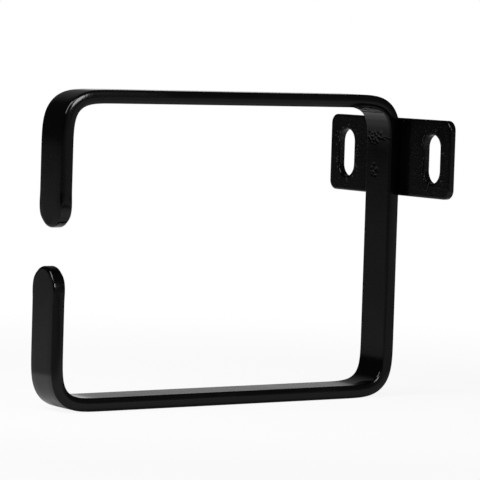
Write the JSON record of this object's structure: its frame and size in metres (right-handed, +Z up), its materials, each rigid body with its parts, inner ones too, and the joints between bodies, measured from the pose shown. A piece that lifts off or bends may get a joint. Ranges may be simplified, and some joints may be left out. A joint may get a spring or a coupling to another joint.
{
  "type": "cable ring",
  "caption": "Open rectangular ring of bent flat bar, painted black, with a slotted plate welded on one side, for guiding bundles of cable along a rack.",
  "frame": {"origin": "centre of the fixing plate's back, midway between its two slots", "axes": "+X out of the plate's back, towards the post it is screwed to; Y along the cables that run through the ring; +Z up as pictured, from the ring's lower bar to its upper bar"},
  "size_m": [0.1249, 0.062, 0.0937],
  "materials": {
    "black_paint": "gloss black paint on steel"
  },
  "bodies": {
    "root": {"ring_bar": "black_paint", "fixing_plate": "black_paint"}
  },
  "joints": []
}
